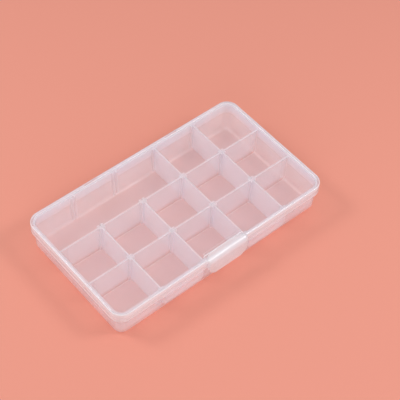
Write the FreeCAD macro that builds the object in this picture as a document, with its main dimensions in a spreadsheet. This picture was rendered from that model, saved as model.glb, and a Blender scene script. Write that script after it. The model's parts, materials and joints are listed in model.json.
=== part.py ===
import FreeCAD, Part

import math
import os

import Sketcher

# Flat box with one hinged lid, a snap latch and removable dividers, moulded in undyed polypropylene.
# Millimetres. X runs along the box, -Y is the latch side, +Y the hinge side, +Z up.
# The origin is the middle of the face that the tray rests on.

doc = FreeCAD.newDocument("compartment_box")

# Driving dimensions
drivingSizes = {
    # lid
    "lidLength": 175.0,
    "lidWidth": 99.0,
    "lidCornerRadius": 9.0,
    "lidWall": 1.3,
    "lidPlate": 1.0,
    "lidRimRise": 0.5,
    "lidRimWidth": 2.4,
    "lidEdgeRadius": 1.2,
    "rimInnerRadius": 0.35,
    "skirtDepth": 7.0,
    "skirtEdgeRadius": 0.4,
    "lidSeatGap": 0.3,
    # tray shell
    "trayHeight": 24.4,
    "trayWall": 1.2,
    "trayLean": 1.0,
    "trayFootRadius": 4.0,
    "skirtGap": 0.4,
    # long partitions and the slots of the dividers
    "columnPitch": 34.4,
    "rowPitch": 30.9,
    "partitionThickness": 1.2,
    "partitionLean": 0.2,
    "partitionDrop": 0.2,
    "topEdgeBevel": 0.25,
    "ribWidth": 1.5,
    "ribProud": 1.1,
    "dividerThickness": 1.0,
    "slotPlay": 0.15,
    "endPlay": 0.2,
    "dividerFootPlay": 0.6,
    # finger ledges on the latch side
    "ledgeSideGap": 3.3,
    "ledgeLength": 32.5,
    "ledgeDrop": 7.9,
    "ledgeThickness": 1.2,
    "ledgeInset": 0.2,
    "ledgeEndRadius": 2.6,
    "ledgeGap": 0.5,
    # catch on the tray and hook on the latch
    "catchLength": 19.0,
    "catchHeight": 2.1,
    "catchProud": 1.8,
    "catchGap": 0.7,
    "catchLead": 0.8,
    "hookBelow": 0.4,
    "hookGrip": 0.9,
    "hookHeight": 1.6,
    # latch flap
    "latchWidth": 32.4,
    "latchCornerRadius": 8.0,
    "latchShoulderRadius": 5.0,
    "latchThickness": 1.1,
    "latchEdgeRadius": 0.4,
    "latchFootMargin": 1.8,
    "latchBendRadius": 3.6,
    "latchStandOff": 1.3,
    "latchSkirtGap": 0.3,
    "latchHingeInset": 3.6,
    "latchSeatDepth": 0.8,
    "latchSeatBevel": 1.0,
    "latchPlay": 0.15,
    "cheekThickness": 1.0,
    "landInset": 1.2,
    "landDepth": 2.2,
    # back hinge
    "hingeSpread": 34.4,
    "hingeOut": 1.5,
    "hingeBelowSkirt": 2.1,
    "hingeBarRadius": 1.2,
    "hingeBarPlay": 0.05,
    "clipWall": 0.95,
    "clipWidth": 10.4,
    "clipGrip": 0.5,
    "clipArmProud": 1.2,
    "clipArmRise": 6.5,
    "earWall": 0.8,
    "earThickness": 2.0,
    "earGap": 0.2,
    "earSkirtGap": 0.7,
    "earDrop": 5.6,
    # overrun of every cut
    "overrun": 1.0,
}

sheet = doc.addObject("Spreadsheet::Sheet", "sizes")
for row, (alias, number) in enumerate(drivingSizes.items(), start=1):
    sheet.set("A" + str(row), alias)
    sheet.set("B" + str(row), str(number))
    sheet.setAlias("B" + str(row), alias)
doc.recompute()


class Size:
    # A length that knows its number now and the sheet formula that it follows

    def __init__(self, formula, number):
        self.formula = formula
        self.number = number

    def join(self, sign, other, number):
        right = other.formula if isinstance(other, Size) else str(other)
        return Size("(" + self.formula + " " + sign + " " + right + ")", number)

    def __add__(self, other):
        return self.join("+", other, self.number + other.number)

    def __sub__(self, other):
        return self.join("-", other, self.number - other.number)

    def __mul__(self, other):
        factor = other.number if isinstance(other, Size) else other
        return self.join("*", other, self.number * factor)

    def __truediv__(self, other):
        divisor = other.number if isinstance(other, Size) else other
        return self.join("/", other, self.number / divisor)

    def __neg__(self):
        return Size("(-1 * " + self.formula + ")", -self.number)


def size(alias):
    return Size("sizes." + alias, float(sheet.get(alias)))


def leanAngle(lean, height):
    # Angle of a wall that leans this far over this height
    degrees = math.degrees(math.atan2(lean.number, height.number))
    return Size("atan(" + lean.formula + " / " + height.formula + ")", degrees)


def bind(thing, prop, value):
    thing.setExpression(prop, value.formula)


zero = Size("0", 0.0)

# Sizes that follow from the driving ones
lidHalfLength = size("lidLength") / 2
lidHalfWidth = size("lidWidth") / 2
lidUnderside = size("trayHeight") + size("lidSeatGap")
lidTop = lidUnderside + size("lidPlate") + size("lidRimRise")
skirtBottom = lidUnderside - size("skirtDepth")
lidToTray = size("lidWall") + size("skirtGap")
trayHalfLength = lidHalfLength - lidToTray
trayHalfWidth = lidHalfWidth - lidToTray
trayCornerRadius = size("lidCornerRadius") - lidToTray
partitionTop = size("trayHeight") - size("partitionDrop")
partitionHeight = partitionTop - size("trayWall")
slotHalf = size("dividerThickness") / 2 + size("slotPlay")
slotsPerRow = 4
firstSlot = -size("columnPitch") * ((slotsPerRow - 1) / 2)


def wallFace(level, inside):
    # Half width of the tray at a height above the floor, on the outer or inner face of the leaning wall
    lean = Size(
        "(sizes.trayLean * (sizes.trayHeight - " + level.formula + ") / sizes.trayHeight)",
        size("trayLean").number * (size("trayHeight").number - level.number) / size("trayHeight").number,
    )
    face = trayHalfWidth - lean
    return face - size("trayWall") if inside else face


def newBody(label):
    body = doc.addObject("PartDesign::Body", label + "_body")
    body.Label = label
    if hasattr(body, "AllowCompound"):
        body.AllowCompound = True
    return body


def originFeature(body, role):
    return [feature for feature in body.Origin.OriginFeatures if feature.Role == role][0]


def newSketch(body, name, role, offset=zero):
    sketch = body.newObject("Sketcher::SketchObject", name)
    sketch.AttachmentSupport = (originFeature(body, role), [""])
    sketch.MapMode = "FlatFace"
    bind(sketch, ".AttachmentOffset.Base.z", offset)
    return sketch


def holdPoint(sketch, geometry, vertex, across, up):
    # Ties a point to the sketch origin by two bound distances
    for kind, value in (("DistanceX", across), ("DistanceY", up)):
        index = sketch.addConstraint(Sketcher.Constraint(kind, -1, 1, geometry, vertex, value.number))
        bind(sketch, "Constraints[" + str(index) + "]", value)


def cornerRound(before, corner, after, radius):
    # Tangent points and centre of an arc that rounds a corner
    toBefore = (before - corner).normalize()
    toAfter = (after - corner).normalize()
    halfTurn = toBefore.getAngle(toAfter) / 2
    reach = radius / math.tan(halfTurn)
    centre = corner + (toBefore + toAfter).normalize() * (radius / math.sin(halfTurn))
    return corner + toBefore * reach, corner + toAfter * reach, centre


def outline(sketch, corners):
    # Closed outline. Each corner is (across, up) or, for a rounded one, (across, up, radius).
    count = len(corners)
    points = [FreeCAD.Vector(corner[0].number, corner[1].number, 0) for corner in corners]
    rounds = {}
    for i, corner in enumerate(corners):
        if len(corner) == 3:
            rounds[i] = cornerRound(points[i - 1], points[i], points[(i + 1) % count], corner[2].number)
    lines = []
    for i in range(count):
        j = (i + 1) % count
        start = rounds[i][1] if i in rounds else points[i]
        end = rounds[j][0] if j in rounds else points[j]
        lines.append(sketch.addGeometry(Part.LineSegment(start, end), False))
    for i, corner in enumerate(corners):
        lineIn = lines[i - 1]
        lineOut = lines[i]
        if i not in rounds:
            sketch.addConstraint(Sketcher.Constraint("Coincident", lineIn, 2, lineOut, 1))
            holdPoint(sketch, lineOut, 1, corner[0], corner[1])
            continue
        first, last, centre = rounds[i]
        turn = (points[i] - points[i - 1]).cross(points[(i + 1) % count] - points[i]).z
        fromPoint, toPoint = (first, last) if turn > 0 else (last, first)
        circle = Part.Circle(centre, FreeCAD.Vector(0, 0, 1), corner[2].number)
        arc = sketch.addGeometry(
            Part.ArcOfCircle(circle, circle.parameter(fromPoint), circle.parameter(toPoint)), False)
        entry, leave = (1, 2) if turn > 0 else (2, 1)
        sketch.addConstraint(Sketcher.Constraint("Tangent", lineIn, 2, arc, entry))
        sketch.addConstraint(Sketcher.Constraint("Tangent", arc, leave, lineOut, 1))
        index = sketch.addConstraint(Sketcher.Constraint("Radius", arc, corner[2].number))
        bind(sketch, "Constraints[" + str(index) + "]", corner[2])
        mark = sketch.addGeometry(Part.Point(points[i]), True)
        sketch.addConstraint(Sketcher.Constraint("PointOnObject", mark, 1, lineIn))
        sketch.addConstraint(Sketcher.Constraint("PointOnObject", mark, 1, lineOut))
        holdPoint(sketch, mark, 1, corner[0], corner[1])


def rectangle(sketch, left, bottom, right, top):
    outline(sketch, [(left, bottom), (right, bottom), (right, top), (left, top)])


def roundedRectangle(sketch, halfLength, halfWidth, radius):
    outline(sketch, [
        (-halfLength, -halfWidth, radius), (halfLength, -halfWidth, radius),
        (halfLength, halfWidth, radius), (-halfLength, halfWidth, radius)])


def ring(sketch, across, up, radius):
    centre = FreeCAD.Vector(across.number, up.number, 0)
    circle = sketch.addGeometry(Part.Circle(centre, FreeCAD.Vector(0, 0, 1), radius.number), False)
    holdPoint(sketch, circle, 3, across, up)
    index = sketch.addConstraint(Sketcher.Constraint("Radius", circle, radius.number))
    bind(sketch, "Constraints[" + str(index) + "]", radius)


def pad(body, sketch, length, downward=False, midplane=False, taper=None):
    feature = body.newObject("PartDesign::Pad", sketch.Name + "_pad")
    feature.Profile = sketch
    bind(feature, "Length", length)
    feature.Reversed = downward
    feature.Midplane = midplane
    if taper is not None:
        bind(feature, "TaperAngle", taper)
    doc.recompute()
    return feature


def pocket(body, sketch, depth, upward=False, midplane=False):
    before = body.Shape.Volume
    feature = body.newObject("PartDesign::Pocket", sketch.Name + "_pocket")
    feature.Profile = sketch
    bind(feature, "Length", depth)
    feature.Reversed = upward
    feature.Midplane = midplane
    doc.recompute()
    if not feature.Shape.Volume < before:
        raise RuntimeError(feature.Name + " removed nothing")
    return feature


def edgesWhere(feature, wanted):
    return ["Edge" + str(i) for i, edge in enumerate(feature.Shape.Edges, start=1) if wanted(edge)]


def fillet(body, feature, wanted, radius):
    rounded = body.newObject("PartDesign::Fillet", feature.Name + "_fillet")
    rounded.Base = (feature, edgesWhere(feature, wanted))
    bind(rounded, "Radius", radius)
    doc.recompute()
    return rounded


def chamfer(body, feature, wanted, width):
    bevelled = body.newObject("PartDesign::Chamfer", feature.Name + "_chamfer")
    bevelled.Base = (feature, edgesWhere(feature, wanted))
    bind(bevelled, "Size", width)
    doc.recompute()
    return bevelled


# How near a corner has to lie to count as being at a height
nearbyShare = 0.01
nearby = size("slotPlay").number * nearbyShare


def flatAt(level):
    # Picks edges that lie wholly at one height
    return lambda edge: all(abs(vertex.Z - level) < nearby for vertex in edge.Vertexes)


def mirror(body, features, role):
    copy = body.newObject("PartDesign::Mirrored", features[-1].Name + "_mirrored")
    copy.Originals = features
    copy.MirrorPlane = (originFeature(body, role), [""])
    body.Tip = copy
    doc.recompute()
    return copy


# Base tray: leaning walls with a rounded foot, drawn at the rim and padded down
def leaningBlock(label, inset):
    body = newBody(label)
    sketch = newSketch(body, label + "_rim", "XY_Plane", size("trayHeight"))
    roundedRectangle(sketch, trayHalfLength - inset, trayHalfWidth - inset, trayCornerRadius - inset)
    lean = leanAngle(size("trayLean"), size("trayHeight"))
    block = pad(body, sketch, size("trayHeight") - inset, downward=True, taper=-lean)
    fillet(body, block, flatAt(inset.number), size("trayFootRadius") - inset)
    return body


trayBlock = leaningBlock("tray_envelope", zero)
trayCavity = leaningBlock("tray_cavity", size("trayWall"))
trayShell = doc.addObject("Part::Cut", "tray_shell")
trayShell.Base = trayBlock
trayShell.Tool = trayCavity

# Inside of the tray: long partitions, and a pair of guide ribs at each end of every slot
trayInside = newBody("tray_inside")
partitionHalf = size("partitionThickness") / 2
partitionY = size("rowPitch") / 2
partitionSketch = newSketch(trayInside, "long_partition", "XY_Plane", partitionTop)
partitionNear = partitionY - partitionHalf
partitionFar = partitionY + partitionHalf
rectangle(partitionSketch, -trayHalfLength, partitionNear, trayHalfLength, partitionFar)
partitionPad = pad(trayInside, partitionSketch, partitionTop - size("trayWall") / 2, downward=True,
                   taper=leanAngle(size("partitionLean"), partitionHeight))


def partitionTopEdge(edge):
    return flatAt(partitionTop.number)(edge) and edge.BoundBox.XLength > nearby


chamfer(trayInside, partitionPad, partitionTopEdge, size("topEdgeBevel"))

ribEnd = slotHalf + size("ribWidth")
ribReach = partitionHalf + size("ribProud")
partitionRibs = newSketch(trayInside, "partition_ribs", "XY_Plane", partitionTop)
for side in (-1, 1):
    near, far = sorted((slotHalf * side, ribEnd * side), key=lambda value: value.number)
    rectangle(partitionRibs, firstSlot + near, partitionY - ribReach, firstSlot + far, partitionY + ribReach)
partitionRibsPad = pad(trayInside, partitionRibs, partitionTop - size("trayWall") / 2, downward=True)

wallRibPads = []
for side, sideName in ((-1, "left"), (1, "right")):
    start = firstSlot + (slotHalf if side > 0 else -ribEnd)
    wallRib = newSketch(trayInside, "wall_rib_" + sideName, "YZ_Plane", start)
    outline(wallRib, [
        (wallFace(size("trayWall"), True) - size("ribProud"), size("trayWall") / 2),
        (trayHalfWidth, size("trayWall") / 2),
        (trayHalfWidth, partitionTop),
        (wallFace(partitionTop, True) - size("ribProud"), partitionTop)])
    wallRibPads.append(pad(trayInside, wallRib, size("ribWidth")))

slotRow = trayInside.newObject("PartDesign::LinearPattern", "slot_row")
slotRow.Originals = [partitionRibsPad] + wallRibPads
slotRow.Direction = (originFeature(trayInside, "X_Axis"), [""])
bind(slotRow, "Length", size("columnPitch") * (slotsPerRow - 1))
slotRow.Occurrences = slotsPerRow
trayInside.Tip = slotRow
doc.recompute()

insideHalf = doc.addObject("Part::Common", "tray_inside_half")
insideHalf.Base = trayBlock
insideHalf.Tool = trayInside
insideMirror = doc.addObject("Part::Mirroring", "tray_inside_mirror")
insideMirror.Source = insideHalf
insideMirror.Normal = FreeCAD.Vector(0, 1, 0)
doc.recompute()

# Outside of the tray: catch, finger ledges, hinge ears and bars
trayOutside = newBody("tray_outside")
ledgeTop = skirtBottom - size("ledgeGap")
ledgeFace = lidHalfWidth - size("ledgeInset")
ledgeUnder = ledgeTop - size("ledgeThickness")
ledgeRoot = wallFace(ledgeUnder, True) + size("trayWall") / 2
ledgeBottom = ledgeTop - size("ledgeDrop")
ledgeStart = size("latchWidth") / 2 + size("ledgeSideGap")
ledge = newSketch(trayOutside, "finger_ledge", "YZ_Plane", ledgeStart)
ledgeInside = ledgeFace - size("ledgeThickness")
outline(ledge, [
    (-ledgeRoot, ledgeTop), (-ledgeFace, ledgeTop, size("ledgeThickness") / 2), (-ledgeFace, ledgeBottom),
    (-ledgeInside, ledgeBottom), (-ledgeInside, ledgeUnder), (-ledgeRoot, ledgeUnder)])
ledgePad = pad(trayOutside, ledge, size("ledgeLength"))


def ledgeTip(edge):
    box = edge.BoundBox
    atBottom = box.ZMax < ledgeBottom.number + nearby
    return atBottom and box.XLength < nearby and box.YLength > nearby


ledgeRound = fillet(trayOutside, ledgePad, ledgeTip, size("ledgeEndRadius"))
ledgePair = doc.addObject("Part::Mirroring", "finger_ledge_mirror")

catchTop = skirtBottom - size("catchGap")
catchBottom = catchTop - size("catchHeight")
catchRoot = wallFace(catchBottom, True) + size("trayWall") / 2
catchFace = wallFace(catchTop, False) + size("catchProud")
catchBody = newBody("tray_catch")
catch = newSketch(catchBody, "catch_section", "YZ_Plane")
outline(catch, [
    (-catchRoot, catchTop), (-(catchFace - size("catchLead")), catchTop),
    (-catchFace, catchTop - size("catchLead")), (-catchFace, catchBottom), (-catchRoot, catchBottom)])
pad(catchBody, catch, size("catchLength"), midplane=True)

hingeY = lidHalfWidth + size("hingeOut")
hingeZ = skirtBottom - size("hingeBelowSkirt")
earInner = size("clipWidth") / 2 + size("earGap")
earTopLevel = skirtBottom - size("earSkirtGap")
earBottomLevel = hingeZ - size("earDrop")
earRoot = wallFace(earBottomLevel, True) + size("trayWall") / 2
earRadius = size("hingeBarRadius") + size("earWall")
hingeBody = newBody("tray_hinge")
for side, sideName in ((-1, "left"), (1, "right")):
    start = size("hingeSpread") + (earInner if side > 0 else -(earInner + size("earThickness")))
    web = newSketch(hingeBody, "ear_web_" + sideName, "YZ_Plane", start)
    outline(web, [
        (earRoot, earBottomLevel), (hingeY, hingeZ - earRadius), (hingeY, earTopLevel),
        (earRoot, earTopLevel)])
    pad(hingeBody, web, size("earThickness"))
    eye = newSketch(hingeBody, "ear_eye_" + sideName, "YZ_Plane", start)
    ring(eye, hingeY, hingeZ, earRadius)
    pad(hingeBody, eye, size("earThickness"))
barStart = size("hingeSpread") - earInner - size("earThickness") / 2
bar = newSketch(hingeBody, "hinge_bar", "YZ_Plane", barStart)
ring(bar, hingeY, hingeZ, size("hingeBarRadius"))
pad(hingeBody, bar, earInner * 2 + size("earThickness"))

ledgePair.Source = trayOutside
ledgePair.Normal = FreeCAD.Vector(1, 0, 0)
hingePair = doc.addObject("Part::Mirroring", "tray_hinge_mirror")
hingePair.Source = hingeBody
hingePair.Normal = FreeCAD.Vector(1, 0, 0)
baseTray = doc.addObject("Part::MultiFuse", "base_tray")
baseTray.Label = "base_tray"
baseTray.Shapes = [
    trayShell, insideHalf, insideMirror, trayOutside, ledgePair, catchBody, hingeBody, hingePair]
baseTray.Refine = True
doc.recompute()

# Lid: its own origin is the middle of the plate's underside
lid = newBody("lid")
bind(lid, ".Placement.Base.z", lidUnderside)
plateTop = size("lidPlate") + size("lidRimRise")
lidBlock = newSketch(lid, "lid_outline", "XY_Plane", plateTop)
roundedRectangle(lidBlock, lidHalfLength, lidHalfWidth, size("lidCornerRadius"))
lidPad = pad(lid, lidBlock, plateTop + size("skirtDepth"), downward=True)
lidRound = fillet(lid, lidPad, flatAt(plateTop.number), size("lidEdgeRadius"))
fillet(lid, lidRound, flatAt(-size("skirtDepth").number), size("skirtEdgeRadius"))
lidInside = newSketch(lid, "lid_inside", "XY_Plane")
roundedRectangle(lidInside, lidHalfLength - size("lidWall"), lidHalfWidth - size("lidWall"),
                 size("lidCornerRadius") - size("lidWall"))
pocket(lid, lidInside, size("skirtDepth") + size("overrun"))
lidPanel = newSketch(lid, "lid_panel", "XY_Plane", plateTop)
panelHalfLength = lidHalfLength - size("lidRimWidth")
panelHalfWidth = lidHalfWidth - size("lidRimWidth")
roundedRectangle(lidPanel, panelHalfLength, panelHalfWidth, size("lidCornerRadius") - size("lidRimWidth"))
panelPocket = pocket(lid, lidPanel, size("lidRimRise"))


def rimInnerEdge(edge):
    insidePanel = all(abs(vertex.X) < panelHalfLength.number + nearby and
                      abs(vertex.Y) < panelHalfWidth.number + nearby for vertex in edge.Vertexes)
    return insidePanel and flatAt(plateTop.number)(edge)


fillet(lid, panelPocket, rimInnerEdge, size("rimInnerRadius"))

# Land behind the latch and the seat that its flap lies in
latchHingeY = lidHalfWidth - size("latchHingeInset")
land = newSketch(lid, "latch_land", "XY_Plane", size("lidPlate"))
landBack = latchHingeY - size("landDepth")
landHalf = size("latchWidth") / 2 - size("landInset")
rectangle(land, -landHalf, -(panelHalfWidth + size("lidRimWidth") / 2), landHalf, -landBack)
pad(lid, land, size("lidRimRise"))
seat = newSketch(lid, "latch_seat", "XY_Plane", plateTop)
seatHalf = size("latchWidth") / 2 + size("latchSkirtGap")
seatFront = -(lidHalfWidth + size("latchShoulderRadius"))
outline(seat, [
    (-seatHalf, seatFront), (seatHalf, seatFront),
    (seatHalf, -latchHingeY, size("latchShoulderRadius")),
    (-seatHalf, -latchHingeY, size("latchShoulderRadius"))])
pocket(lid, seat, size("latchSeatDepth"))

# The seat's front edge is bevelled to clear the bend of the flap
seatLip = newSketch(lid, "latch_seat_lip", "YZ_Plane")
seatLevel = plateTop - size("latchSeatDepth")
lipStart = -(lidHalfWidth - size("latchSeatBevel"))
lipEnd = -(lidHalfWidth + size("overrun"))
outline(seatLip, [
    (lipStart, seatLevel), (lipStart, plateTop + size("overrun")), (lipEnd, plateTop + size("overrun")),
    (lipEnd, seatLevel - size("latchSeatBevel") - size("overrun"))])
pocket(lid, seatLip, seatHalf * 2, midplane=True)
latchBead = size("latchThickness") / 2
latchHingeZ = plateTop - size("latchSeatDepth") + size("latchPlay") + latchBead
hingeGroove = newSketch(lid, "latch_groove", "YZ_Plane")
ring(hingeGroove, -latchHingeY, latchHingeZ, latchBead + size("latchPlay"))
pocket(lid, hingeGroove, seatHalf * 2, midplane=True)

# Hinge clips at the back: an arm down the skirt and a ring that snaps over the tray's bar
clipZ = hingeZ - lidUnderside
clipStart = size("hingeSpread") - size("clipWidth") / 2
armFace = lidHalfWidth + size("clipArmProud")
arm = newSketch(lid, "clip_arm", "YZ_Plane", clipStart)
armRoot = lidHalfWidth - size("lidWall") / 2
outline(arm, [
    (armRoot, clipZ), (armFace, clipZ), (armFace, clipZ + size("clipArmRise") + size("clipArmProud")),
    (lidHalfWidth, clipZ + size("clipArmRise") + size("clipArmProud") * 2),
    (armRoot, clipZ + size("clipArmRise") + size("clipArmProud") * 2)])
armPad = pad(lid, arm, size("clipWidth"))
clip = newSketch(lid, "clip_ring", "YZ_Plane", clipStart)
boreRadius = size("hingeBarRadius") + size("hingeBarPlay")
clipRadius = boreRadius + size("clipWall")
ring(clip, hingeY, clipZ, clipRadius)
clipPad = pad(lid, clip, size("clipWidth"))
mirror(lid, [armPad, clipPad], "YZ_Plane")
bore = newSketch(lid, "clip_bore", "YZ_Plane")
ring(bore, hingeY, clipZ, boreRadius)
clipReach = (size("hingeSpread") + size("clipWidth")) * 2
pocket(lid, bore, clipReach, midplane=True)
mouth = newSketch(lid, "clip_mouth", "YZ_Plane")
mouthHalf = size("hingeBarRadius") - size("clipGrip") / 2
rectangle(mouth, hingeY - mouthHalf, clipZ - clipRadius - size("overrun"), hingeY + mouthHalf, clipZ)
pocket(lid, mouth, clipReach, midplane=True)

# Latch: its own origin is the middle of its hinge line
latch = newBody("latch")
bind(latch, ".Placement.Base.y", -latchHingeY)
bind(latch, ".Placement.Base.z", lidUnderside + latchHingeZ)
latchInnerY = -(size("latchHingeInset") + size("latchStandOff"))
latchOuterY = latchInnerY - size("latchThickness")
flapMiddle = (latchInnerY + latchOuterY) / 2
hookTop = catchBottom - size("hookBelow") - lidUnderside - latchHingeZ
hookBottom = hookTop - size("hookHeight")
latchFootZ = hookBottom - size("latchFootMargin")
flap = newSketch(latch, "flap_section", "YZ_Plane")
outline(flap, [
    (zero, latchBead), (latchOuterY, latchBead, size("latchBendRadius")),
    (latchOuterY, latchFootZ, size("latchEdgeRadius")), (latchInnerY, latchFootZ, size("latchEdgeRadius")),
    (latchInnerY, -latchBead, size("latchBendRadius") - size("latchThickness")), (zero, -latchBead)])
pad(latch, flap, size("latchWidth"), midplane=True)

# Cheeks that close the flap's sides towards the skirt
cheek = newSketch(latch, "flap_cheek", "YZ_Plane", size("latchWidth") / 2 - size("cheekThickness"))
rectangle(cheek, flapMiddle, latchFootZ + size("latchCornerRadius") / 2,
          -(size("latchHingeInset") + size("latchSkirtGap")), latchBead - size("latchBendRadius") / 2)
mirror(latch, [pad(latch, cheek, size("cheekThickness"))], "YZ_Plane")


def roundFlapCorners(name, role, near, far, step, radius):
    # Cuts away what lies outside the flap's outline. The corners at the near end are rounded.
    half = size("latchWidth") / 2
    margin = half + size("overrun")
    reach = latchBead - latchFootZ - latchOuterY + size("overrun")
    sketch = newSketch(latch, name, role)
    outline(sketch, [(-half, near, radius), (half, near, radius), (half, far), (-half, far)])
    rectangle(sketch, -margin, near + step, margin, far - step)
    pocket(latch, sketch, reach * 2, midplane=True)


roundFlapCorners("flap_foot", "XZ_Plane", latchFootZ, latchBead + size("overrun"), -size("overrun"),
                 size("latchCornerRadius"))
roundFlapCorners("flap_shoulder", "XY_Plane", zero, latchOuterY - size("overrun"), size("overrun"),
                 size("latchShoulderRadius"))
bead = newSketch(latch, "hinge_bead", "YZ_Plane")
ring(bead, zero, zero, latchBead)
pad(latch, bead, (size("latchWidth") / 2 - size("latchShoulderRadius")) * 2, midplane=True)

# Hook inside the flap that snaps under the catch
hookTip = latchHingeY - catchFace + size("hookGrip")
hook = newSketch(latch, "hook_section", "YZ_Plane")
outline(hook, [
    (flapMiddle, hookTop), (hookTip, hookTop), (hookTip, hookTop - size("hookHeight") / 2),
    (flapMiddle, hookBottom)])
pad(latch, hook, size("catchLength"), midplane=True)


# Removable dividers: short ones that stand between two pairs of guide ribs. Slots count from the left.
def divider(label, slot, corners):
    body = newBody(label)
    bind(body, ".Placement.Base.x", firstSlot + size("columnPitch") * (slot - 1))
    bind(body, ".Placement.Base.z", size("trayWall"))
    sketch = newSketch(body, label + "_face", "YZ_Plane")
    outline(sketch, corners)
    plate = pad(body, sketch, size("dividerThickness"), midplane=True)
    chamfer(body, plate, flatAt(partitionHeight.number), size("topEdgeBevel"))


endPlay = size("endPlay")
rowTop = partitionY + partitionHalf + endPlay
rowFoot = rowTop + size("partitionLean")
wallTop = wallFace(partitionTop, True) - endPlay
wallFoot = wallFace(size("trayWall"), True) - endPlay
middleTop = partitionY - partitionHalf - endPlay
middleFoot = middleTop - size("partitionLean")
footRadius = size("trayFootRadius") - size("trayWall") + size("dividerFootPlay")

for slot in range(1, slotsPerRow + 1):
    divider("divider_front_" + str(slot), slot, [
        (-wallTop, partitionHeight), (-wallFoot, zero, footRadius),
        (-rowFoot, zero), (-rowTop, partitionHeight)])
    divider("divider_middle_" + str(slot), slot, [
        (-middleTop, partitionHeight), (-middleFoot, zero), (middleFoot, zero), (middleTop, partitionHeight)])

# The back row's first two slots are left empty, so its first three cells are one long cell
for slot in (3, 4):
    divider("divider_back_" + str(slot), slot, [
        (rowTop, partitionHeight), (rowFoot, zero), (wallFoot, zero, footRadius), (wallTop, partitionHeight)])

doc.recompute()
for thing in doc.Objects:
    if "Invalid" in thing.State or "Error" in thing.State:
        raise RuntimeError(thing.Name + " failed: " + str(thing.State))

helpers = (trayBlock, trayCavity, trayInside, trayOutside, catchBody, hingeBody)
subParts = [baseTray] + [thing for thing in doc.Objects
                         if thing.TypeId == "PartDesign::Body" and thing not in helpers]
os.makedirs("parts", exist_ok=True)
for part in subParts:
    shape = part.Shape
    if shape.isNull() or not shape.isValid() or shape.Volume <= 0:
        raise RuntimeError(part.Label + " has no valid shape")
    shape.exportStep("parts/" + part.Label + ".step")
    print(part.Label, len(shape.Solids), "solids,", round(shape.Volume), "mm3", shape.BoundBox)
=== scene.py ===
import json
import math

import bpy
from mathutils import Matrix, Vector


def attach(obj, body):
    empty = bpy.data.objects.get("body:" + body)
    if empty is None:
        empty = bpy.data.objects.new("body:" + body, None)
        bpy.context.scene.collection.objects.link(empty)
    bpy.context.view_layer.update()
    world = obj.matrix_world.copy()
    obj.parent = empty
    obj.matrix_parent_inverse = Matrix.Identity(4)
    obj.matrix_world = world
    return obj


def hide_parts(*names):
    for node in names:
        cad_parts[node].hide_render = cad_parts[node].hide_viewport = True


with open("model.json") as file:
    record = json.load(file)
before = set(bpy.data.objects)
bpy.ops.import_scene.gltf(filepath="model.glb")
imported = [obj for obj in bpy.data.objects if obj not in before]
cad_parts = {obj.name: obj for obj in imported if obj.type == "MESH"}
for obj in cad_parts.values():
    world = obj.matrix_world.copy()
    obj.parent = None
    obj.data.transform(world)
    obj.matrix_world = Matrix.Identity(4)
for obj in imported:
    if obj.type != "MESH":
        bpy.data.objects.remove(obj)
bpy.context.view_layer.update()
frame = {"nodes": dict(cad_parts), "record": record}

mm = 0.001
print("CAD model loaded:", len(frame["nodes"]), "nodes")

# The photo's view, fitted to the grid of partitions. Angles are in degrees, the sensor in mm.
cameraFit = {
    "azimuth": -43.07,
    "elevation": 51.53,
    "roll": 3.718,
    "distance": 0.8131,
    "target": (0.02503, 0.00552, 0.0012),
    "focalPixels": 1186.92,
    "imagePixels": 400,
    "sensorWidth": 36.0,
    "clip": (0.01, 20.0),
}


def makeCamera(fit):
    azimuth, elevation, roll = (math.radians(fit[key]) for key in ("azimuth", "elevation", "roll"))
    back = Vector((math.sin(azimuth) * math.cos(elevation), -math.cos(azimuth) * math.cos(elevation),
                   math.sin(elevation)))
    right = (-back).cross(Vector((0, 0, 1))).normalized()
    up = right.cross(-back)
    rolledRight = right * math.cos(roll) + up * math.sin(roll)
    rolledUp = up * math.cos(roll) - right * math.sin(roll)
    data = bpy.data.cameras.new("camera")
    data.sensor_width = fit["sensorWidth"]
    data.lens = data.sensor_width * fit["focalPixels"] / fit["imagePixels"]
    data.clip_start, data.clip_end = fit["clip"]
    camera = bpy.data.objects.new("camera", data)
    bpy.context.scene.collection.objects.link(camera)
    turn = Matrix((rolledRight, rolledUp, back)).transposed().to_4x4()
    camera.matrix_world = Matrix.Translation(Vector(fit["target"]) + back * fit["distance"]) @ turn
    bpy.context.scene.camera = camera


makeCamera(cameraFit)
print("Camera placed")


def onlySelect(thing):
    bpy.ops.object.select_all(action="DESELECT")
    thing.select_set(True)
    bpy.context.view_layer.objects.active = thing


def newMaterial(name):
    material = bpy.data.materials.new(name)
    material.use_nodes = True
    return material, material.node_tree, material.node_tree.nodes["Principled BSDF"]


def addNode(tree, kind, place, **values):
    node = tree.nodes.new(kind)
    node.location = place
    for key, value in values.items():
        if hasattr(node, key):
            setattr(node, key, value)
        else:
            node.inputs[key].default_value = value
    return node


def feed(tree, socket, value):
    # A plain number is set on the socket, anything else is linked to it
    if isinstance(value, float):
        socket.default_value = value
    else:
        tree.links.new(value, socket)


def mapRange(tree, source, place, fromLow, fromHigh, toLow, toHigh):
    node = addNode(tree, "ShaderNodeMapRange", place)
    tree.links.new(source, node.inputs[0])
    for i, value in enumerate((fromLow, fromHigh, toLow, toHigh), start=1):
        feed(tree, node.inputs[i], value)
    return node.outputs[0]


def combine(tree, operation, place, first, second=0.0):
    node = addNode(tree, "ShaderNodeMath", place, operation=operation)
    feed(tree, node.inputs[0], first)
    feed(tree, node.inputs[1], second)
    return node.outputs[0]


def mixShaders(tree, place, share, first, second):
    node = addNode(tree, "ShaderNodeMixShader", place)
    feed(tree, node.inputs[0], share)
    tree.links.new(first, node.inputs[1])
    tree.links.new(second, node.inputs[2])
    return node.outputs[0]


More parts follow.
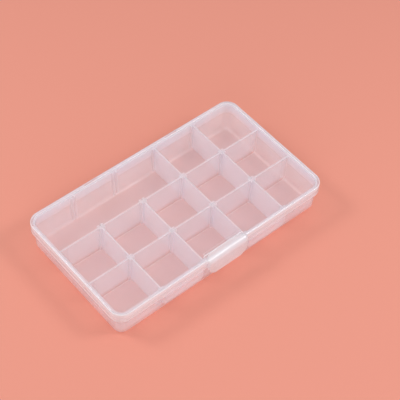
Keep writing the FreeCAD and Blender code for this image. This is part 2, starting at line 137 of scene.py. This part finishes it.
# What all the pieces share. A haze is the share of milky plastic that a face shows, the rest is clear.
# A range holds the two noise values between which a texture takes its effect.
plastic = {
    "cloudScale": 38.0,
    "cloudDetail": 3.0,
    "tintRange": (0.35, 0.65),
    "hazeRange": (0.3, 0.7),
    "hazeCloud": (0.92, 1.08),
    "grainScale": 1400.0,
    "grainDetail": 2.0,
    "grainRange": (0.3, 0.7),
    "grainStrength": 0.6,
    "grainDepth": 0.01 * mm,
    "roughness": (0.20, 0.34),
    "edgeRadius": 0.6 * mm,
    "edgeTurn": (0.995, 0.80),      # cosine of an edge's turn where its milky haze and painted highlight start and are full
    # edges whiter than the faces, partly for the frosted plastic's thickness and partly as a painted
    # highlight
    "hazeEdgeAndHighlight": 0.55,
    "shadowHaze": 0.47,             # share of the haze that keeps a lamp's light back
    "through": 0.25,                # share of the milk that lets light through
    "scuffScale": 260.0,
    "scuffDetail": 6.0,
    "scuffRange": (0.4, 0.65),
    "gloss": (0.12, 0.20),          # roughness of the gloss
    "glossSteep": 0.6,              # strength of the gloss at a grazing angle
    "glossPower": 5.0,
}

# Each piece has two tints in linear RGB, the strength of its gloss seen face on, the haze it starts from,
# and zones that change that haze in turn: what is measured, where the zone starts, where it is full,
# and its haze. "lying" is 1 on a lying face and 0 on a standing one. The others are in mm: "side" and
# "front" out from the middle of the box, "y" and "z" from its zero, "column" from the nearest line
# between two columns of cells, and "lap" into the band of wall that the lid's skirt covers.
baseTray = {
    "clear": (0.96, 0.915, 0.955),
    "cloudy": (0.94, 0.89, 0.945),
    "glossFlat": 0.012,
    "columnPitch": 34.4,
    "lapCorner": (78.5, 40.5, 1000.0),    # centre of the wall's corner round, and a height it never reaches
    "lapWall": 5.0,                       # how far out from it the wall behind the skirt starts
    "lapFoot": 17.2,                      # how high the skirt's foot is
    "start": 0.33,
    "zones": [
        ("column", 2.6, 2.3, 0.52),       # guide ribs, milkier to paint light over the shade in the gaps beside them
        ("side", 78.0, 79.0, 0.28),       # end walls, which have none
        ("side", 83.6, 84.4, 0.42),       # their outer faces
        ("front", 36.0, 45.7, 0.42),      # long walls
        ("lap", 0.0, 0.8, 0.62),          # band of wall behind the skirt
        ("y", -47.2, -47.7, 0.42),        # finger ledges and catch
        ("lying", 0.35, 0.95, 0.44),      # floor
        ("z", 0.9, 0.4, 0.07),            # underside
        ("z", 23.8, 24.1, 0.60),          # top edges
    ],
}
lid = {
    "clear": (0.95, 0.955, 0.985),
    "cloudy": (0.94, 0.935, 0.975),
    "glossFlat": 0.04,
    "start": 0.63,
    "zones": [
        ("z", 22.4, 23.2, 1.00),          # round edge above the skirt, fully milky as a painted highlight
        ("z", 20.2, 19.2, 0.95),          # foot of the skirt, whitened as a painted highlight along its lower edge
        ("lying", 0.75, 0.92, 0.09),      # plate and rim
    ],
}
latch = {
    "clear": (0.95, 0.945, 0.965),
    "cloudy": (0.94, 0.925, 0.955),
    "glossFlat": 0.018,
    "start": 0.30,
    "zones": [
        ("lying", 0.97, 0.85, 0.45),      # bend
        ("lying", 0.35, 0.10, 0.50),      # flap
        ("z", 12.0, 11.6, 0.60),          # foot of the flap
    ],
}
divider = {
    "clear": (0.96, 0.915, 0.955),
    "cloudy": (0.94, 0.89, 0.945),
    "glossFlat": 0.03,
    "start": 0.57,
    "zones": [
        ("z", 23.8, 24.1, 0.60),          # top edge
    ],
}


def columnGap(tree, x, pitch):
    # Distance from the nearest line between two columns
    toColumn = combine(tree, "PINGPONG", (-750, 1150), x, pitch / 2)
    return combine(tree, "SUBTRACT", (-600, 1150), pitch / 2, toColumn)


def lapDepth(tree, point, z, piece):
    # Above 0 where a point lies past the wall's rounded outline and over the skirt's foot
    steps = (("ABSOLUTE", (0, 0, 0)), ("SUBTRACT", piece["lapCorner"]), ("MAXIMUM", (0, 0, 0)),
             ("LENGTH", (0, 0, 0)))
    for i, (operation, values) in enumerate(steps):
        step = addNode(tree, "ShaderNodeVectorMath", (-1800 + 200 * i, 1300), operation=operation)
        tree.links.new(point, step.inputs[0])
        step.inputs[1].default_value = values
        point = step.outputs["Value" if operation == "LENGTH" else "Vector"]
    pastWall = combine(tree, "SUBTRACT", (-750, 1300), point, piece["lapWall"])
    overFoot = combine(tree, "SUBTRACT", (-750, 1450), z, piece["lapFoot"])
    return combine(tree, "MINIMUM", (-600, 1300), pastWall, overFoot)


def zoneMeasure(tree, kind, point, axes, normal, piece):
    if kind == "lying":
        return combine(tree, "ABSOLUTE", (-750, 700), normal.outputs["Z"])
    if kind == "side":
        return combine(tree, "ABSOLUTE", (-750, 1000), axes.outputs["X"])
    if kind == "front":
        return combine(tree, "ABSOLUTE", (-750, 850), axes.outputs["Y"])
    if kind == "column":
        return columnGap(tree, axes.outputs["X"], piece["columnPitch"])
    if kind == "lap":
        return lapDepth(tree, point, axes.outputs["Z"], piece)
    return axes.outputs[kind.upper()]


def zonedHaze(tree, coordinates, piece):
    normal = addNode(tree, "ShaderNodeSeparateXYZ", (-900, 700))
    tree.links.new(coordinates.outputs["Normal"], normal.inputs[0])
    inMillimetres = addNode(tree, "ShaderNodeVectorMath", (-1050, 900), operation="SCALE", Scale=1 / mm)
    tree.links.new(coordinates.outputs["Object"], inMillimetres.inputs[0])
    point = inMillimetres.outputs[0]
    axes = addNode(tree, "ShaderNodeSeparateXYZ", (-900, 900))
    tree.links.new(point, axes.inputs[0])
    measures = {}
    haze = piece["start"]
    for i, (kind, zoneStart, zoneFull, zoneHaze) in enumerate(piece["zones"]):
        if kind not in measures:
            measures[kind] = zoneMeasure(tree, kind, point, axes, normal, piece)
        inZone = mapRange(tree, measures[kind], (-600 + 100 * i, 1000), zoneStart, zoneFull, 0.0, 1.0)
        haze = mapRange(tree, inZone, (-600 + 100 * i, 700), 0.0, 1.0, haze, zoneHaze)
    return haze


def edgeHazeAndHighlightShare(tree, roundedNormal, edgeTurn):
    # 0 on a face, rising to 1 where a thin edge turns; edges are whitened there, partly as a painted
    # highlight
    geometry = addNode(tree, "ShaderNodeNewGeometry", (-500, 1300))
    dot = addNode(tree, "ShaderNodeVectorMath", (-300, 1300), operation="DOT_PRODUCT")
    tree.links.new(geometry.outputs["Normal"], dot.inputs[0])
    tree.links.new(roundedNormal, dot.inputs[1])
    return mapRange(tree, dot.outputs["Value"], (-100, 1300), *edgeTurn, 0.0, 1.0)


def frostedPlastic(name, look, piece):
    material, tree, shader = newMaterial(name)
    output = tree.nodes["Material Output"]
    coordinates = addNode(tree, "ShaderNodeTexCoord", (-1200, 0))
    cloud, grain, scuff = (
        addNode(tree, "ShaderNodeTexNoise", (-900, height), Scale=look[kind + "Scale"],
                Detail=look[kind + "Detail"])
        for kind, height in (("cloud", 200), ("grain", -200), ("scuff", -700)))
    for texture in (cloud, grain, scuff):
        tree.links.new(coordinates.outputs["Object"], texture.inputs["Vector"])

    # Inputs 6 and 7 and output 2 are the Mix node's colours
    tint = addNode(tree, "ShaderNodeMix", (-600, 300), data_type="RGBA")
    tint.inputs[6].default_value = (*piece["clear"], 1)
    tint.inputs[7].default_value = (*piece["cloudy"], 1)
    tintShare = mapRange(tree, cloud.outputs[0], (-750, 300), *look["tintRange"], 0.0, 1.0)
    tree.links.new(tintShare, tint.inputs[0])
    tree.links.new(tint.outputs[2], shader.inputs["Base Color"])
    rough = mapRange(tree, grain.outputs[0], (-600, 0), *look["grainRange"], *look["roughness"])
    tree.links.new(rough, shader.inputs["Roughness"])
    rounded = addNode(tree, "ShaderNodeBevel", (-700, -450), Radius=look["edgeRadius"])
    bump = addNode(tree, "ShaderNodeBump", (-400, -300), Strength=look["grainStrength"],
                   Distance=look["grainDepth"])
    tree.links.new(grain.outputs[0], bump.inputs["Height"])
    tree.links.new(rounded.outputs[0], bump.inputs["Normal"])
    tree.links.new(bump.outputs[0], shader.inputs["Normal"])

    # The milky share: zones, some of which paint highlights, slow clouding, paler edges that are partly a
    # painted highlight, and less of it in the way of a lamp
    cloudShare = mapRange(tree, cloud.outputs[0], (-300, 500), *look["hazeRange"], *look["hazeCloud"])
    milky = combine(tree, "MULTIPLY", (0, 700), zonedHaze(tree, coordinates, piece), cloudShare)
    edgeAndHighlightMask = edgeHazeAndHighlightShare(tree, rounded.outputs[0], look["edgeTurn"])
    # painted highlight: thin edges turn milkier and whiter whatever the light
    edgeHazeAndPaintedHighlight = combine(tree, "MULTIPLY", (0, 900), edgeAndHighlightMask, look["hazeEdgeAndHighlight"])
    milky = combine(tree, "ADD", (150, 800), milky, edgeHazeAndPaintedHighlight)
    toLamp = addNode(tree, "ShaderNodeLightPath", (0, 1100)).outputs["Is Shadow Ray"]
    lampShare = mapRange(tree, toLamp, (150, 1100), 0.0, 1.0, 1.0, look["shadowHaze"])
    milky = combine(tree, "MULTIPLY", (300, 900), milky, lampShare)

    clear = addNode(tree, "ShaderNodeBsdfTransparent", (0, -100))
    glow = addNode(tree, "ShaderNodeBsdfTranslucent", (0, 250))
    tree.links.new(tint.outputs[2], glow.inputs["Color"])
    milk = mixShaders(tree, (150, 250), look["through"], shader.outputs[0], glow.outputs[0])
    body = mixShaders(tree, (300, 100), milky, clear.outputs[0], milk)

    gloss = addNode(tree, "ShaderNodeBsdfGlossy", (0, -250))
    scuffed = mapRange(tree, scuff.outputs[0], (-300, -700), *look["scuffRange"], *look["gloss"])
    tree.links.new(scuffed, gloss.inputs["Roughness"])
    tree.links.new(bump.outputs[0], gloss.inputs["Normal"])
    facing = addNode(tree, "ShaderNodeLayerWeight", (-300, -900)).outputs["Facing"]
    glossCurve = combine(tree, "POWER", (-150, -900), facing, look["glossPower"])
    mirror = mapRange(tree, glossCurve, (0, -900), 0.0, 1.0, piece["glossFlat"], look["glossSteep"])
    surface = mixShaders(tree, (500, 100), mirror, body, gloss.outputs[0])
    tree.links.new(surface, output.inputs["Surface"])
    return material


smoothing = {
    "mergeWithin": 0.002 * mm,
    "shadeAngle": math.radians(35),
    "flatWeight": 100,
}


def smoothCopy(node, body, material):
    # A merged copy of the CAD node, with its rounds shaded smooth and its flats flat
    piece = bpy.data.objects.new(node + "_moulded", frame["nodes"][node].data.copy())
    bpy.context.scene.collection.objects.link(piece)
    onlySelect(piece)
    bpy.ops.object.mode_set(mode="EDIT")
    bpy.ops.mesh.select_all(action="SELECT")
    bpy.ops.mesh.customdata_custom_splitnormals_clear()
    bpy.ops.mesh.remove_doubles(threshold=smoothing["mergeWithin"])
    bpy.ops.object.mode_set(mode="OBJECT")
    bpy.ops.object.shade_smooth_by_angle(angle=smoothing["shadeAngle"])
    weighted = piece.modifiers.new("flat_faces", "WEIGHTED_NORMAL")
    weighted.keep_sharp = True
    weighted.weight = smoothing["flatWeight"]
    bpy.ops.object.modifier_apply(modifier=weighted.name)
    piece.data.materials.clear()
    piece.data.materials.append(material)
    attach(piece, body)
    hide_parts(node)


pieceLooks = {"base_tray": baseTray, "lid": lid, "latch": latch, "divider": divider}
plastics = {}
for kind, look in pieceLooks.items():
    plastics[kind] = frostedPlastic(kind + "_polypropylene", plastic, look)
print("Plastics mixed:", len(plastics))

for bodyName, members in frame["record"]["behaviour"]["bodies"].items():
    for node in members:
        kind = "divider" if node.startswith("divider") else node
        smoothCopy(node, bodyName, plastics[kind])
print("Pieces made")

stage = {
    "floorColour": (0.805, 0.320, 0.242),
    "floorRoughness": 0.9,
    "floorSpecular": 0.1,
    "floorLevel": -0.05 * mm,
    "floorHalf": 4.0,
    "worldColour": (1.0, 0.99, 1.0),
    "worldStrength": 0.585,
}

bpy.ops.object.select_all(action="DESELECT")
bpy.ops.mesh.primitive_plane_add(size=stage["floorHalf"] * 2, location=(0, 0, stage["floorLevel"]))
floor = bpy.context.active_object
floor.name = "floor"
floorMaterial, _, floorShader = newMaterial("floor_paper")
floorShader.inputs["Base Color"].default_value = (*stage["floorColour"], 1)
floorShader.inputs["Roughness"].default_value = stage["floorRoughness"]
floorShader.inputs["Specular IOR Level"].default_value = stage["floorSpecular"]
floor.data.materials.append(floorMaterial)

world = bpy.data.worlds.new("studio")
bpy.context.scene.world = world
world.use_nodes = True
background = world.node_tree.nodes["Background"]
background.inputs["Color"].default_value = (*stage["worldColour"], 1)
background.inputs["Strength"].default_value = stage["worldStrength"]

# The key glints on the left rim, the fill on the front rim, and the window lights the upright faces
lamps = {
    "key": {"place": (-0.45, 0.43, 0.68), "size": (0.26, 0.26), "energy": 2.1},
    "fill": {"place": (0.40, -0.45, 0.68), "size": (0.26, 0.26), "energy": 2.2},
    "window": {"place": (-0.62, -0.62, 0.42), "size": (0.6, 0.5), "energy": 1.6},
}
for name, values in lamps.items():
    light = bpy.data.lights.new(name, "AREA")
    light.shape = "RECTANGLE"
    light.size, light.size_y = values["size"]
    light.energy = values["energy"]
    lamp = bpy.data.objects.new(name, light)
    lamp.location = values["place"]
    lamp.rotation_euler = (-Vector(values["place"])).to_track_quat("-Z", "Y").to_euler()
    bpy.context.scene.collection.objects.link(lamp)

# Light passes many thin walls before it reaches the floor and comes back
bounces = {"all": 24, "diffuse": 12, "glossy": 8, "transmission": 24, "transparent": 32}
scene = bpy.context.scene
scene.view_settings.view_transform = "Standard"
scene.cycles.max_bounces = bounces["all"]
scene.cycles.diffuse_bounces = bounces["diffuse"]
scene.cycles.glossy_bounces = bounces["glossy"]
scene.cycles.transmission_bounces = bounces["transmission"]
scene.cycles.transparent_max_bounces = bounces["transparent"]
print("Stage ready")
